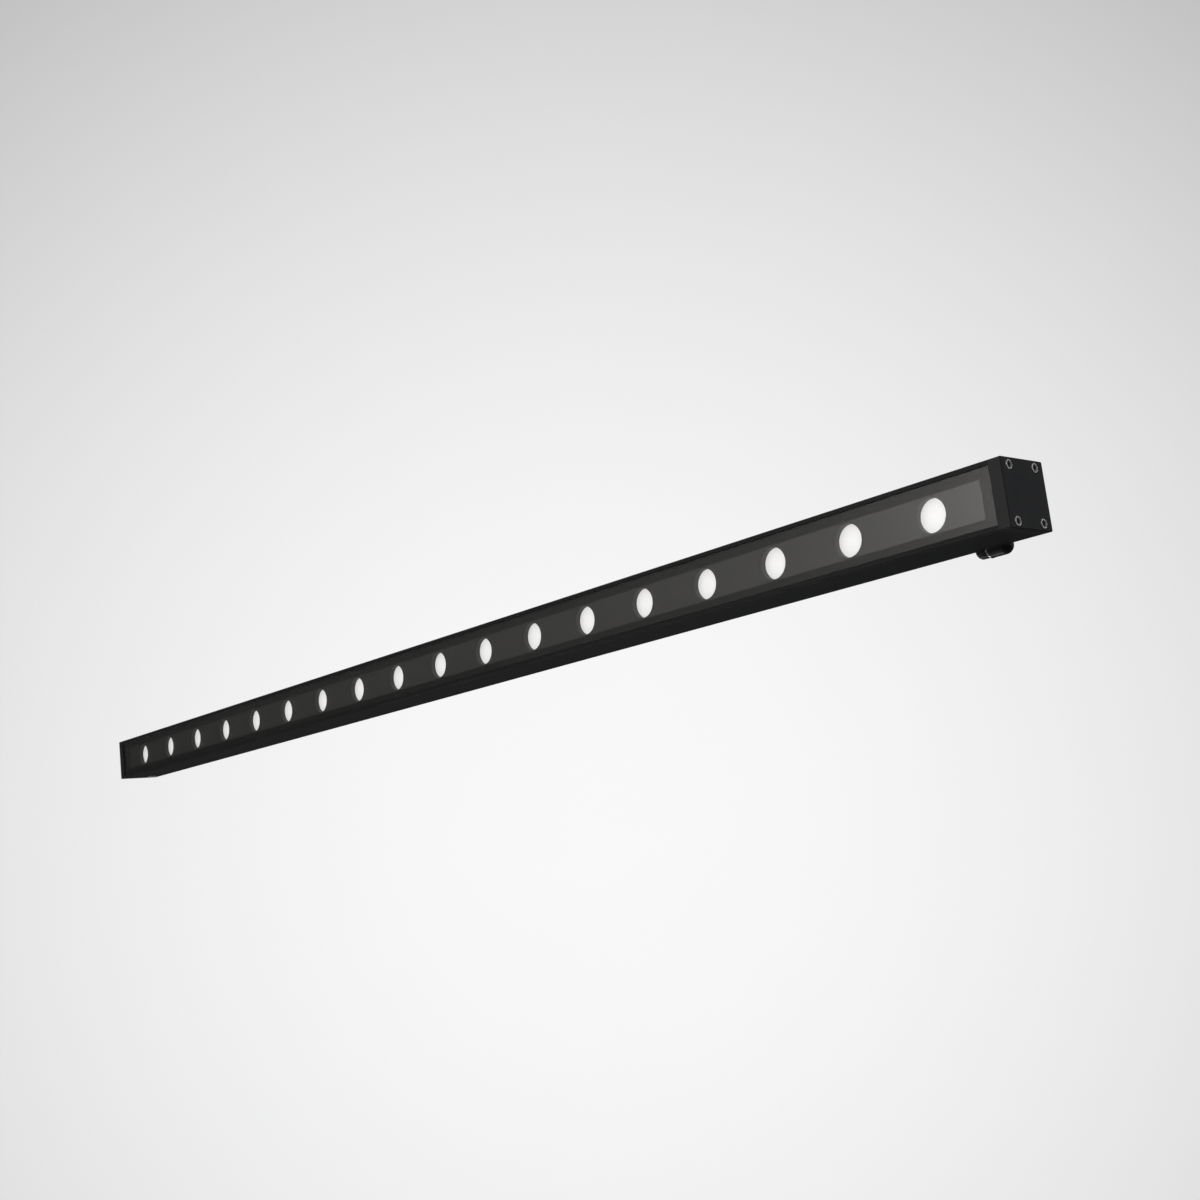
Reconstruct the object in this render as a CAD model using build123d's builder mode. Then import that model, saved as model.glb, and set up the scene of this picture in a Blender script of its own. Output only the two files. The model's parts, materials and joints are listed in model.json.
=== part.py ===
from build123d import *
import math
import os

# A slim wall batten with a single row of LED spots behind a flat cover glass.
#
# Frame, in millimetres: +X along the batten, +Z up, and the light leaves towards -Y.
# The origin is the middle of the four wall holes, on the wall's surface, so the wall is y = 0.

# ---------------------------------------------------------------- driving dimensions
# the housing
section = 35.0  # the section is square
corner_radius = 0.8
cap_edge_radius = 0.4
cap_thickness = 7.0
wall = 2.5
web_thickness = 2.0

# the cover glass and what it lies on
rim = 2.7  # metal left above and below the glass
glass_thickness = 2.0
glass_recess = 0.2
glass_chamfer = 0.3
seal_thickness = 0.4
end_ledge_width = 7.5

# the row of lights
light_count = 18
light_pitch = 53.0
end_margin = 45.5  # from the middle of the last light to the end of the batten
mask_hole_radius = 8.8
mask_thickness = 3.8
mask_chamfer = 0.35
lens_overlap = 0.5  # of a lens behind the rim of its hole
lens_throat_gap = 0.5  # between a lens and the walls of the throat
lens_step = 1.0
lens_flange = 1.5
lens_height = 8.8
lens_throat_radius = 4.6
lens_pocket_radius = 2.6
lens_pocket_depth = 2.8
lens_leg_radius = 0.9
lens_leg_inset = 1.5  # from the cone's wide end to the middle of a leg
lens_legs = 3
lens_to_board = 1.4
board_thickness = 1.6
pad_thickness = 0.4
board_height = 23.0
board_margin = 1.5  # at each end of the throat
board_gap = 0.4  # between the two boards
board_screw_radius = 1.2
board_screw_head = 2.2
board_screw_rise = 1.3
link_width = 16.0
link_height = 8.0
link_rise = 3.0
link_corner = 0.6
chip_size = 3.4
chip_thickness = 0.8
chip_dome_radius = 1.4

# the end screws
screw_inset_y = 6.7  # from the front and rear faces
screw_inset_z = 3.6  # from the top and bottom faces
screw_radius = 1.5
screw_length = 16.0
screw_head_radius = 2.7
screw_head_height = 3.0
screw_head_proud = 0.1
screw_head_edge = 0.3
hex_across_flats = 2.5
hex_depth = 1.8
boss_radius = 3.5
gasket_thickness = 0.8
gasket_margin = 1.5
gasket_clear = 0.3

# the slot in the rear face
slot_low = -2.0  # lower side of the metal round the slot, from the section's middle
slot_opening = 5.2
slot_lip = 1.6
slot_width = 9.0
slot_height = 2.4
slot_wall = 1.5

# the driver
driver_length = 300.0
driver_height = 20.0
driver_inset = 106.0  # from the right-hand end
driver_gap = 0.5
standoff_radius = 2.0
standoff_inset_x = 6.0
standoff_inset_z = 3.0
capacitor_radius = 3.0
capacitor_length = 20.0
capacitor_offsets = (-95.0, -60.0, 60.0, 95.0)
choke_radius = 6.5
choke_bore = 3.0
choke_width = 5.5
choke_offset = 25.0
driver_chip_length = 10.0
driver_chip_width = 6.0
driver_chip_rise = 2.0
driver_chip_places = ((0.0, -4.0), (0.0, 4.0), (-122.0, 0.0))
terminal_length = 9.0
terminal_width = 13.5
terminal_rise = 5.8
terminal_margin = 1.0
wire_radius = 0.7
wire_levels = (-4.0, -7.0)  # from the section's middle

# the cable gland behind the right-hand end, and the vent underneath the left-hand one
gland_inset = 39.0  # from the right-hand end to the elbow's mouth
gland_length = 12.0
gland_end_radius = 4.4
gland_foot_rise = 1.5  # of the foot above the stem
gland_radius = 4.9
gland_clear = 0.6  # from the elbow's barrel to the rear face
gland_above = 1.3  # cable axis above the underside
gland_nut_radius = 4.6
gland_nut_length = 7.2
gland_nut_edge = 2.8
gland_ring_radius = 5.05
gland_ring_length = 0.8
cable_radius = 1.8
gland_stem_radius = 2.6
gland_lock_radius = 4.6
gland_lock_clear = 0.2  # from the metal round the slot
gland_lock_thickness = 2.0
gland_stem_spare = 0.5
gland_seal_wall = 0.8
gland_seal_length = 9.0
gland_seal_seat = 3.0  # depth of the seal in the elbow
vent_inset = 18.0  # from the left-hand end
vent_depth = 22.9  # from the front face
vent_radius = 1.4
vent_cap_radius = 4.2
vent_cap = 1.1
vent_stem = 5.0
vent_edge = 0.35

# the brackets
pivot_clear = 0.6  # from the barrels to the rear face
pivot_above = 6.5  # pivot axis above the underside
barrel_radius = 4.9
pivot_inset = 116.0  # from each end to the inner side of the shoe's eye
eye_length = 6.0
bolt_radius = 2.0
bolt_head_radius = 4.6
bolt_head = 2.8
bolt_head_edge = 1.5
bolt_hex = 3.0
bolt_hex_depth = 1.9
bolt_short = 0.3  # of the bolt's end inside the plate's eye
washer_radius = 4.9
washer_thickness = 0.8
friction_washer = 0.4
shoe_thickness = 3.0
shoe_width = 24.0
shoe_low = -5.5  # from the section's middle
shoe_high = 12.0
shoe_corner = 2.0
shoe_screw_gap = 12.0
shoe_screw_radius = 1.5
shoe_screw_head_radius = 2.8
shoe_screw_hex = 2.0
shoe_screw_hex_depth = 1.2
neck_clear = 0.4
slot_nut_length = 8.0
plate_thickness = 3.0
plate_width = 24.0
plate_margin = 4.0
plate_corner = 3.0
first_hole = 9.5  # above the pivot axis
hole_spacing = 16.0
hole_radius = 2.25

# clearances
glass_gap = 0.1
slip = 0.1  # between parts that lie side by side
thread_gap = 0.02
pivot_gap = 0.05
slide_gap = 0.15

# ---------------------------------------------------------------- derived places
half = section / 2
body_length = light_pitch * (light_count - 1) + 2 * end_margin
wall_to_axis = barrel_radius
pivot_behind = barrel_radius + pivot_clear
gland_behind = gland_radius + gland_clear
housing_y = -(half + pivot_behind + wall_to_axis)
front_y = housing_y - half
axis_y = -wall_to_axis
axis_z = -(first_hole + hole_spacing / 2)
housing_z = axis_z - pivot_above + half
bottom_z = housing_z - half
profile_length = body_length - 2 * cap_thickness
profile_end = profile_length / 2

glass_half_height = half - rim
seat_depth = glass_recess + glass_thickness + seal_thickness
lens_radius = mask_hole_radius + lens_overlap
throat_half_height = lens_radius + lens_throat_gap
mask_depth = seat_depth + slip
lens_depth = mask_depth + mask_thickness
board_depth = lens_depth + lens_height + lens_to_board
pad_depth = board_depth + board_thickness
web_depth = pad_depth + pad_thickness
inner_end = profile_end - end_ledge_width
board_end = inner_end - board_margin
chamber_half_height = half - wall
rear_chamber_start = web_depth + web_thickness
rear_chamber_end = section - wall
boss_reach = screw_inset_y + boss_radius
slot_depth = slot_lip + slot_height
slot_block_height = slot_depth + slot_wall
slot_block_half = slot_width / 2 + slot_wall
slot_rise = slot_low + slot_block_half
gland_stem_z = slot_low - gland_lock_clear - gland_lock_radius * math.cos(math.radians(30))
light_xs = [light_pitch * (i - (light_count - 1) / 2) for i in range(light_count)]
board_screw_xs = [s * light_pitch * n for s in (-1, 1) for n in (1, 5, 8)]
screw_y = half - screw_inset_y
screw_z = half - screw_inset_z
driver_x = body_length / 2 - driver_inset - driver_length / 2
gland_x = body_length / 2 - gland_inset
stem_x = gland_x + (gland_length - gland_end_radius) / 2
vent_x = vent_inset - body_length / 2
pivot_x = body_length / 2 - pivot_inset


def depth_plane(depth):
    """A plane parallel to the front face; extruding from it goes towards the front."""
    return Plane((0, front_y + depth, housing_z), x_dir=(1, 0, 0), z_dir=(0, -1, 0))


def section_plane(x):
    """A plane across the batten: its x is the batten's Y and its y the batten's Z."""
    return Plane((x, housing_y, housing_z), x_dir=(0, 1, 0), z_dir=(1, 0, 0))


def level_plane(z):
    """A level plane: its x and y are the batten's own, measured from the housing's middle."""
    return Plane((0, housing_y, z), x_dir=(1, 0, 0), z_dir=(0, 0, 1))


def pivot_plane(x):
    """A plane across the batten whose origin lies on the pivot axis."""
    return Plane((x, axis_y, axis_z), x_dir=(0, 1, 0), z_dir=(1, 0, 0))


def low_x(side, near, far):
    """The lower x of a stretch given for the right-hand side and used on either side."""
    return min(side * near, side * far)


def block(depth_from, depth_to, z_from, z_to, mode=Mode.ADD):
    """A rectangle of the housing's section, given by depth from the front and height."""
    with Locations(((depth_from + depth_to) / 2 - half, (z_from + z_to) / 2)):
        Rectangle(depth_to - depth_from, z_to - z_from, mode=mode)


def save(name, part):
    """Label a finished piece and write its STEP file."""
    part.label = name
    export_step(part, f"parts/{name}.step")


os.makedirs("parts", exist_ok=True)

# ---------------------------------------------------------------- housing
# One extruded section: the glass pocket, the narrower throat behind it, the light
# chamber, the web, the driver chamber, four screw channels and the slot behind.
with BuildPart() as housing:
    with BuildSketch(section_plane(-profile_end)):
        RectangleRounded(section, section, corner_radius)
        pocket_half = glass_half_height + glass_gap
        block(-wall, seat_depth, -pocket_half, pocket_half, Mode.SUBTRACT)
        block(seat_depth, web_depth, -throat_half_height, throat_half_height, Mode.SUBTRACT)
        block(boss_reach, web_depth, -chamber_half_height, chamber_half_height, Mode.SUBTRACT)
        block(
            rear_chamber_start,
            rear_chamber_end,
            -chamber_half_height,
            chamber_half_height,
            Mode.SUBTRACT,
        )
        for up in (-1, 1):
            inner_z = up * (screw_z - boss_radius)
            low, high = sorted((inner_z, up * (half - wall / 2)))
            block(section - boss_reach, section - wall / 2, low, high)
        with Locations((half - slot_block_height / 2, slot_rise)):
            Rectangle(slot_block_height, 2 * slot_block_half)
        with Locations((half - slot_lip / 2, slot_rise)):
            Rectangle(slot_lip, slot_opening, mode=Mode.SUBTRACT)
        with Locations((half - slot_lip - slot_height / 2, slot_rise)):
            Rectangle(slot_height, slot_width, mode=Mode.SUBTRACT)
        with GridLocations(2 * screw_y, 2 * screw_z, 2, 2):
            Circle(screw_radius + thread_gap, mode=Mode.SUBTRACT)
    extrude(amount=profile_length)
    with BuildSketch(depth_plane(rear_chamber_start)):
        with Locations(*[(x, 0) for x in board_screw_xs]):
            Circle(board_screw_radius + thread_gap)
    extrude(amount=web_thickness, mode=Mode.SUBTRACT)
    # the gland's stem passes the rear wall, the vent's stem the bottom wall
    with BuildSketch(depth_plane(section)):
        with Locations((stem_x, gland_stem_z)):
            Circle(gland_stem_radius + slip)
    extrude(amount=wall, mode=Mode.SUBTRACT)
    with BuildSketch(level_plane(bottom_z)):
        with Locations((vent_x, vent_depth - half)):
            Circle(vent_radius + slip)
    extrude(amount=wall, mode=Mode.SUBTRACT)
save("housing", housing.part)

# ---------------------------------------------------------------- end caps
gasket_hole = screw_radius + gasket_clear
window_half = screw_z - boss_radius - slip
window_from = rear_chamber_start
window_to = rear_chamber_end - slip
spigot_to = board_depth - slip


def cap_windows(grow):
    """The two openings of the gasket: one round the spigot, one over the driver chamber."""
    block(
        seat_depth - grow,
        spigot_to + grow,
        -throat_half_height - grow + slip,
        throat_half_height + grow - slip,
        Mode.SUBTRACT,
    )
    block(window_from, window_to, -window_half, window_half, Mode.SUBTRACT)


for side, name in ((-1, "left"), (1, "right")):
    with BuildPart() as cap:
        with BuildSketch(section_plane(low_x(side, profile_end, profile_end + cap_thickness))):
            RectangleRounded(section, section, corner_radius)
        extrude(amount=cap_thickness)
        outer = cap.faces().sort_by(Axis.X)[0 if side < 0 else -1]
        fillet(outer.edges(), cap_edge_radius)
        # the recess that takes the gasket
        recess_x = low_x(side, profile_end, profile_end + gasket_thickness)
        with BuildSketch(section_plane(recess_x)):
            Rectangle(section - 2 * gasket_margin, section - 2 * gasket_margin)
            cap_windows(gasket_clear)
        extrude(amount=gasket_thickness, mode=Mode.SUBTRACT)
        # the spigot closes the end of the light chamber and carries the end of the glass
        with BuildSketch(section_plane(low_x(side, inner_end + slip, profile_end))):
            block(
                seat_depth,
                spigot_to,
                -throat_half_height + slip,
                throat_half_height - slip,
            )
        extrude(amount=end_ledge_width - slip)
        # screw holes with counterbores
        with BuildSketch(section_plane(low_x(side, profile_end, profile_end + cap_thickness))):
            with GridLocations(2 * screw_y, 2 * screw_z, 2, 2):
                Circle(screw_radius + slip)
        extrude(amount=cap_thickness, mode=Mode.SUBTRACT)
        bore_depth = screw_head_height - screw_head_proud
        seat_x = low_x(side, body_length / 2 - bore_depth, body_length / 2)
        with BuildSketch(section_plane(seat_x)):
            with GridLocations(2 * screw_y, 2 * screw_z, 2, 2):
                Circle(screw_head_radius + slip)
        extrude(amount=bore_depth, mode=Mode.SUBTRACT)
    save(f"end_cap_{name}", cap.part)

    with BuildPart() as gasket:
        with BuildSketch(section_plane(recess_x)):
            Rectangle(
                section - 2 * (gasket_margin + slip),
                section - 2 * (gasket_margin + slip),
            )
            cap_windows(gasket_clear + slip)
            with GridLocations(2 * screw_y, 2 * screw_z, 2, 2):
                Circle(gasket_hole, mode=Mode.SUBTRACT)
        extrude(amount=gasket_thickness)
    save(f"end_gasket_{name}", gasket.part)

    # four socket-head screws in one node
    head_inner = body_length / 2 + screw_head_proud - screw_head_height
    head_outer = body_length / 2 + screw_head_proud
    with BuildPart() as screws:
        with BuildSketch(section_plane(low_x(side, head_inner, head_outer))):
            with GridLocations(2 * screw_y, 2 * screw_z, 2, 2):
                Circle(screw_head_radius)
        extrude(amount=screw_head_height)
        rims = screws.edges().filter_by(GeomType.CIRCLE).group_by(Axis.X)[0 if side < 0 else -1]
        fillet(rims, screw_head_edge)
        with BuildSketch(section_plane(low_x(side, head_inner - screw_length, head_inner))):
            with GridLocations(2 * screw_y, 2 * screw_z, 2, 2):
                Circle(screw_radius)
        extrude(amount=screw_length)
        with BuildSketch(section_plane(low_x(side, head_outer - hex_depth, head_outer))):
            with GridLocations(2 * screw_y, 2 * screw_z, 2, 2):
                RegularPolygon(hex_across_flats / 2, 6, major_radius=False)
        extrude(amount=hex_depth, mode=Mode.SUBTRACT)
    save(f"end_screws_{name}", screws.part)

# ---------------------------------------------------------------- cover glass and seal
with BuildPart() as cover_glass:
    with BuildSketch(depth_plane(glass_recess + glass_thickness)):
        Rectangle(profile_length, 2 * glass_half_height)
    extrude(amount=glass_thickness)
    front_edges = cover_glass.faces().sort_by(Axis.Y)[0].edges()
    chamfer(front_edges, glass_chamfer)
save("cover_glass", cover_glass.part)

with BuildPart() as cover_seal:
    with BuildSketch(depth_plane(seat_depth)):
        Rectangle(profile_length, 2 * glass_half_height)
        Rectangle(2 * inner_end, 2 * throat_half_height, mode=Mode.SUBTRACT)
    extrude(amount=seal_thickness)
save("cover_seal", cover_seal.part)

# ---------------------------------------------------------------- mask
with BuildPart() as lens_mask:
    with BuildSketch(depth_plane(lens_depth)):
        Rectangle(2 * inner_end, 2 * (throat_half_height - slip))
        with Locations(*[(x, 0) for x in light_xs]):
            Circle(mask_hole_radius, mode=Mode.SUBTRACT)
    extrude(amount=mask_thickness)
    hole_rims = lens_mask.edges().filter_by(GeomType.CIRCLE).group_by(Axis.Y)[0]
    chamfer(hole_rims, mask_chamfer)
save("lens_mask", lens_mask.part)

# ---------------------------------------------------------------- lenses
lens_front_y = front_y + lens_depth
lens_back_y = lens_front_y + lens_height
cone_radius = lens_radius - lens_step
leg_circle = cone_radius - lens_leg_inset
leg_length = lens_height + lens_to_board - lens_flange

for number, x in enumerate(light_xs, start=1):
    with BuildPart() as lens:
        with BuildSketch(Plane((x, 0, housing_z))):
            with BuildLine():
                Polyline(
                    (0, lens_front_y),
                    (lens_radius, lens_front_y),
                    (lens_radius, lens_front_y + lens_flange),
                    (cone_radius, lens_front_y + lens_flange),
                    (lens_throat_radius, lens_back_y),
                    (lens_pocket_radius, lens_back_y),
                    (lens_pocket_radius, lens_back_y - lens_pocket_depth),
                    (0, lens_back_y - lens_pocket_depth),
                    close=True,
                )
            make_face()
        revolve(axis=Axis((x, 0, housing_z), (0, 1, 0)))
        with BuildSketch(depth_plane(board_depth)):
            with Locations((x, 0)):
                with PolarLocations(leg_circle, lens_legs, start_angle=90):
                    Circle(lens_leg_radius)
        extrude(amount=leg_length)
    save(f"lens_{number:02d}", lens.part)

# ---------------------------------------------------------------- light boards
for side, name in ((-1, "left"), (1, "right")):
    with BuildPart() as led_board:
        with BuildSketch(depth_plane(pad_depth)):
            with Locations((side * (board_end + board_gap / 2) / 2, 0)):
                Rectangle(board_end - board_gap / 2, board_height)
            with Locations(*[(x, 0) for x in board_screw_xs]):
                Circle(board_screw_radius + slip, mode=Mode.SUBTRACT)
        extrude(amount=board_thickness)
    save(f"led_board_{name}", led_board.part)

with BuildPart() as thermal_pads:
    with BuildSketch(depth_plane(web_depth)):
        for side in (-1, 1):
            with Locations((side * (board_end + board_gap / 2) / 2, 0)):
                Rectangle(board_end - board_gap / 2, board_height - 1)
        with Locations(*[(x, 0) for x in board_screw_xs]):
            Circle(board_screw_radius + slip, mode=Mode.SUBTRACT)
    extrude(amount=pad_thickness)
save("thermal_pads", thermal_pads.part)

with BuildPart() as led_chips:
    with BuildSketch(depth_plane(board_depth)):
        with Locations(*[(x, 0) for x in light_xs]):
            Rectangle(chip_size, chip_size)
    extrude(amount=chip_thickness)
    dome_plane = depth_plane(board_depth - chip_thickness)
    with Locations(*[dome_plane.location * Location((x, 0, 0)) for x in light_xs]):
        Sphere(chip_dome_radius, arc_size1=0)
save("led_chips", led_chips.part)

with BuildPart() as board_link:
    with BuildSketch(depth_plane(board_depth)):
        Rectangle(link_width, link_height)
    extrude(amount=link_rise)
    fillet(board_link.edges().filter_by(Axis.Y), link_corner)
save("board_link", board_link.part)

with BuildPart() as board_screws:
    with BuildSketch(depth_plane(board_depth)):
        with Locations(*[(x, 0) for x in board_screw_xs]):
            Circle(board_screw_head)
    extrude(amount=board_screw_rise)
    with BuildSketch(depth_plane(rear_chamber_start - slip)):
        with Locations(*[(x, 0) for x in board_screw_xs]):
            Circle(board_screw_radius)
    extrude(amount=rear_chamber_start - slip - board_depth)
save("board_screws", board_screws.part)

# ---------------------------------------------------------------- driver
# It lies on the back of the web, with its parts towards the rear wall.
driver_face = rear_chamber_start + driver_gap + board_thickness

with BuildPart() as driver_board:
    with BuildSketch(depth_plane(driver_face)):
        with Locations((driver_x, 0)):
            Rectangle(driver_length, driver_height)
    extrude(amount=board_thickness)
    # four moulded feet keep the board off the web
    with BuildSketch(depth_plane(driver_face - board_thickness)):
        feet_x = driver_length - 2 * standoff_inset_x
        feet_z = driver_height - 2 * standoff_inset_z
        with Locations((driver_x, 0)):
            with GridLocations(feet_x, feet_z, 2, 2):
                Circle(standoff_radius)
    extrude(amount=driver_gap)
save("driver_board", driver_board.part)

with BuildPart() as driver_capacitors:
    for offset in capacitor_offsets:
        with BuildSketch(section_plane(driver_x + offset - capacitor_length / 2)):
            with Locations((driver_face - half + capacitor_radius, 0)):
                Circle(capacitor_radius)
        extrude(amount=capacitor_length)
save("driver_capacitors", driver_capacitors.part)

with BuildPart() as driver_chokes:
    with BuildSketch(depth_plane(driver_face + choke_width)):
        with Locations((driver_x - choke_offset, 0), (driver_x + choke_offset, 0)):
            Circle(choke_radius)
            Circle(choke_bore, mode=Mode.SUBTRACT)
    extrude(amount=choke_width)
save("driver_chokes", driver_chokes.part)

with BuildPart() as driver_chips:
    with BuildSketch(depth_plane(driver_face + driver_chip_rise)):
        with Locations(*[(driver_x + x, z) for x, z in driver_chip_places]):
            Rectangle(driver_chip_length, driver_chip_width)
    extrude(amount=driver_chip_rise)
save("driver_chips", driver_chips.part)

terminal_reach = (driver_length - terminal_length) / 2 - terminal_margin
with BuildPart() as driver_terminals:
    with BuildSketch(depth_plane(driver_face + terminal_rise)):
        with Locations((driver_x - terminal_reach, 0), (driver_x + terminal_reach, 0)):
            Rectangle(terminal_length, terminal_width)
    extrude(amount=terminal_rise)
save("driver_terminals", driver_terminals.part)

# ---------------------------------------------------------------- gland and vent
# The gland is an elbow behind the rear face. The cable enters it along X, from the middle of
# the batten, turns up inside it and passes the rear wall through a stem.
gland_y = housing_y + half + gland_behind
gland_z = bottom_z + gland_above
stem_z = housing_z + gland_stem_z
rear_y = housing_y + half
way_y = rear_y + gland_behind / 2


def gland_plane(x):
    """A plane across the batten whose origin lies on the cable's axis in the gland."""
    return Plane((x, gland_y, gland_z), x_dir=(0, 1, 0), z_dir=(1, 0, 0))


def stem_plane(y):
    """A plane along the rear face with its origin on the stem; extruding goes forwards."""
    return Plane((stem_x, y, stem_z), x_dir=(1, 0, 0), z_dir=(0, -1, 0))


stem_reach = wall + gland_lock_thickness + gland_stem_spare
with BuildPart() as gland_elbow:
    with BuildSketch(gland_plane(gland_x)):
        Circle(gland_radius)
    extrude(amount=gland_length)
    far_end = gland_elbow.faces().sort_by(Axis.X)[-1]
    fillet(far_end.edges(), gland_end_radius)
    # a foot against the rear face carries the stem
    with BuildSketch(gland_plane(gland_x)):
        foot_top = stem_z + gland_stem_radius + gland_foot_rise - gland_z
        with Locations((-gland_behind / 2, foot_top / 2)):
            Rectangle(gland_behind, foot_top)
    extrude(amount=gland_length - gland_end_radius)
    with BuildSketch(stem_plane(rear_y)):
        Circle(gland_stem_radius)
    extrude(amount=stem_reach)
    # the cable's way: in along X, over to the foot, up, and out through the stem
    with BuildSketch(gland_plane(gland_x)):
        Circle(cable_radius)
    extrude(amount=stem_x - gland_x, mode=Mode.SUBTRACT)
    with BuildSketch(Plane((stem_x, gland_y, gland_z), x_dir=(1, 0, 0), z_dir=(0, -1, 0))):
        Circle(cable_radius)
    extrude(amount=gland_y - way_y, mode=Mode.SUBTRACT)
    with BuildSketch(Plane((stem_x, way_y, gland_z), x_dir=(1, 0, 0), z_dir=(0, 0, 1))):
        Circle(cable_radius)
    extrude(amount=stem_z - gland_z, mode=Mode.SUBTRACT)
    with BuildSketch(stem_plane(way_y)):
        Circle(cable_radius)
    extrude(amount=way_y - rear_y + stem_reach, mode=Mode.SUBTRACT)
    with BuildSketch(gland_plane(gland_x)):
        Circle(cable_radius + gland_seal_wall + thread_gap)
    extrude(amount=gland_seal_seat, mode=Mode.SUBTRACT)
save("gland_elbow", gland_elbow.part)

with BuildPart() as gland_lock_nut:
    with BuildSketch(stem_plane(rear_y - wall)):
        RegularPolygon(gland_lock_radius, 6)
        Circle(gland_stem_radius + thread_gap, mode=Mode.SUBTRACT)
    extrude(amount=gland_lock_thickness)
save("gland_lock_nut", gland_lock_nut.part)

ring_x = gland_x - gland_ring_length
with BuildPart() as gland_ring:
    with BuildSketch(gland_plane(ring_x)):
        Circle(gland_ring_radius)
        Circle(cable_radius + gland_seal_wall + thread_gap, mode=Mode.SUBTRACT)
    extrude(amount=gland_ring_length)
save("gland_ring", gland_ring.part)

nut_x = ring_x - gland_nut_length
with BuildPart() as gland_nut:
    with BuildSketch(gland_plane(nut_x)):
        Circle(gland_nut_radius)
    extrude(amount=gland_nut_length)
    fillet(gland_nut.faces().sort_by(Axis.X)[0].edges(), gland_nut_edge)
    with BuildSketch(gland_plane(nut_x)):
        Circle(cable_radius)
    extrude(amount=gland_nut_length, mode=Mode.SUBTRACT)
    seal_start = gland_x + gland_seal_seat - gland_seal_length
    with BuildSketch(gland_plane(seal_start)):
        Circle(cable_radius + gland_seal_wall + thread_gap)
    extrude(amount=ring_x - seal_start, mode=Mode.SUBTRACT)
save("gland_nut", gland_nut.part)

with BuildPart() as gland_seal:
    with BuildSketch(gland_plane(seal_start)):
        Circle(cable_radius + gland_seal_wall)
        Circle(cable_radius, mode=Mode.SUBTRACT)
    extrude(amount=gland_seal_length)
save("gland_seal", gland_seal.part)

with BuildPart() as vent_plug:
    with BuildSketch(level_plane(bottom_z - vent_cap)):
        with Locations((vent_x, vent_depth - half)):
            Circle(vent_cap_radius)
    extrude(amount=vent_cap)
    fillet(vent_plug.faces().sort_by(Axis.Z)[0].edges(), vent_edge)
    with BuildSketch(level_plane(bottom_z)):
        with Locations((vent_x, vent_depth - half)):
            Circle(vent_radius)
    extrude(amount=vent_stem)
save("vent_plug", vent_plug.part)

# two supply wires run from beside the stem to the nearer terminal block
wire_depth = driver_face + terminal_rise / 2
terminal_end = driver_x + terminal_reach + terminal_length / 2
with BuildPart() as supply_wires:
    with BuildSketch(section_plane(terminal_end)):
        with Locations(*[(wire_depth - half, z) for z in wire_levels]):
            Circle(wire_radius)
    extrude(amount=stem_x - terminal_end)
save("supply_wires", supply_wires.part)

# ---------------------------------------------------------------- brackets
shoe_near = rear_y + slide_gap
shoe_far = shoe_near + shoe_thickness
eye_end = pivot_x + eye_length
plate_eye = eye_end + friction_washer
plate_eye_end = plate_eye + eye_length
nut_height = slot_height - 2 * slide_gap
nut_back = rear_y - slot_lip - slide_gap
shoe_mid_x = pivot_x + shoe_width / 2
shoe_screw_xs = [shoe_mid_x - shoe_screw_gap / 2, shoe_mid_x + shoe_screw_gap / 2]
plate_mid_x = pivot_x + plate_width / 2
plate_low = barrel_radius + neck_clear
plate_top = first_hole + hole_spacing + plate_margin
neck_low = neck_clear - barrel_radius


def back_plane(y):
    """A plane along the rear face, level with the section's middle; extruding goes forwards."""
    return Plane((0, y, housing_z), x_dir=(1, 0, 0), z_dir=(0, -1, 0))


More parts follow.
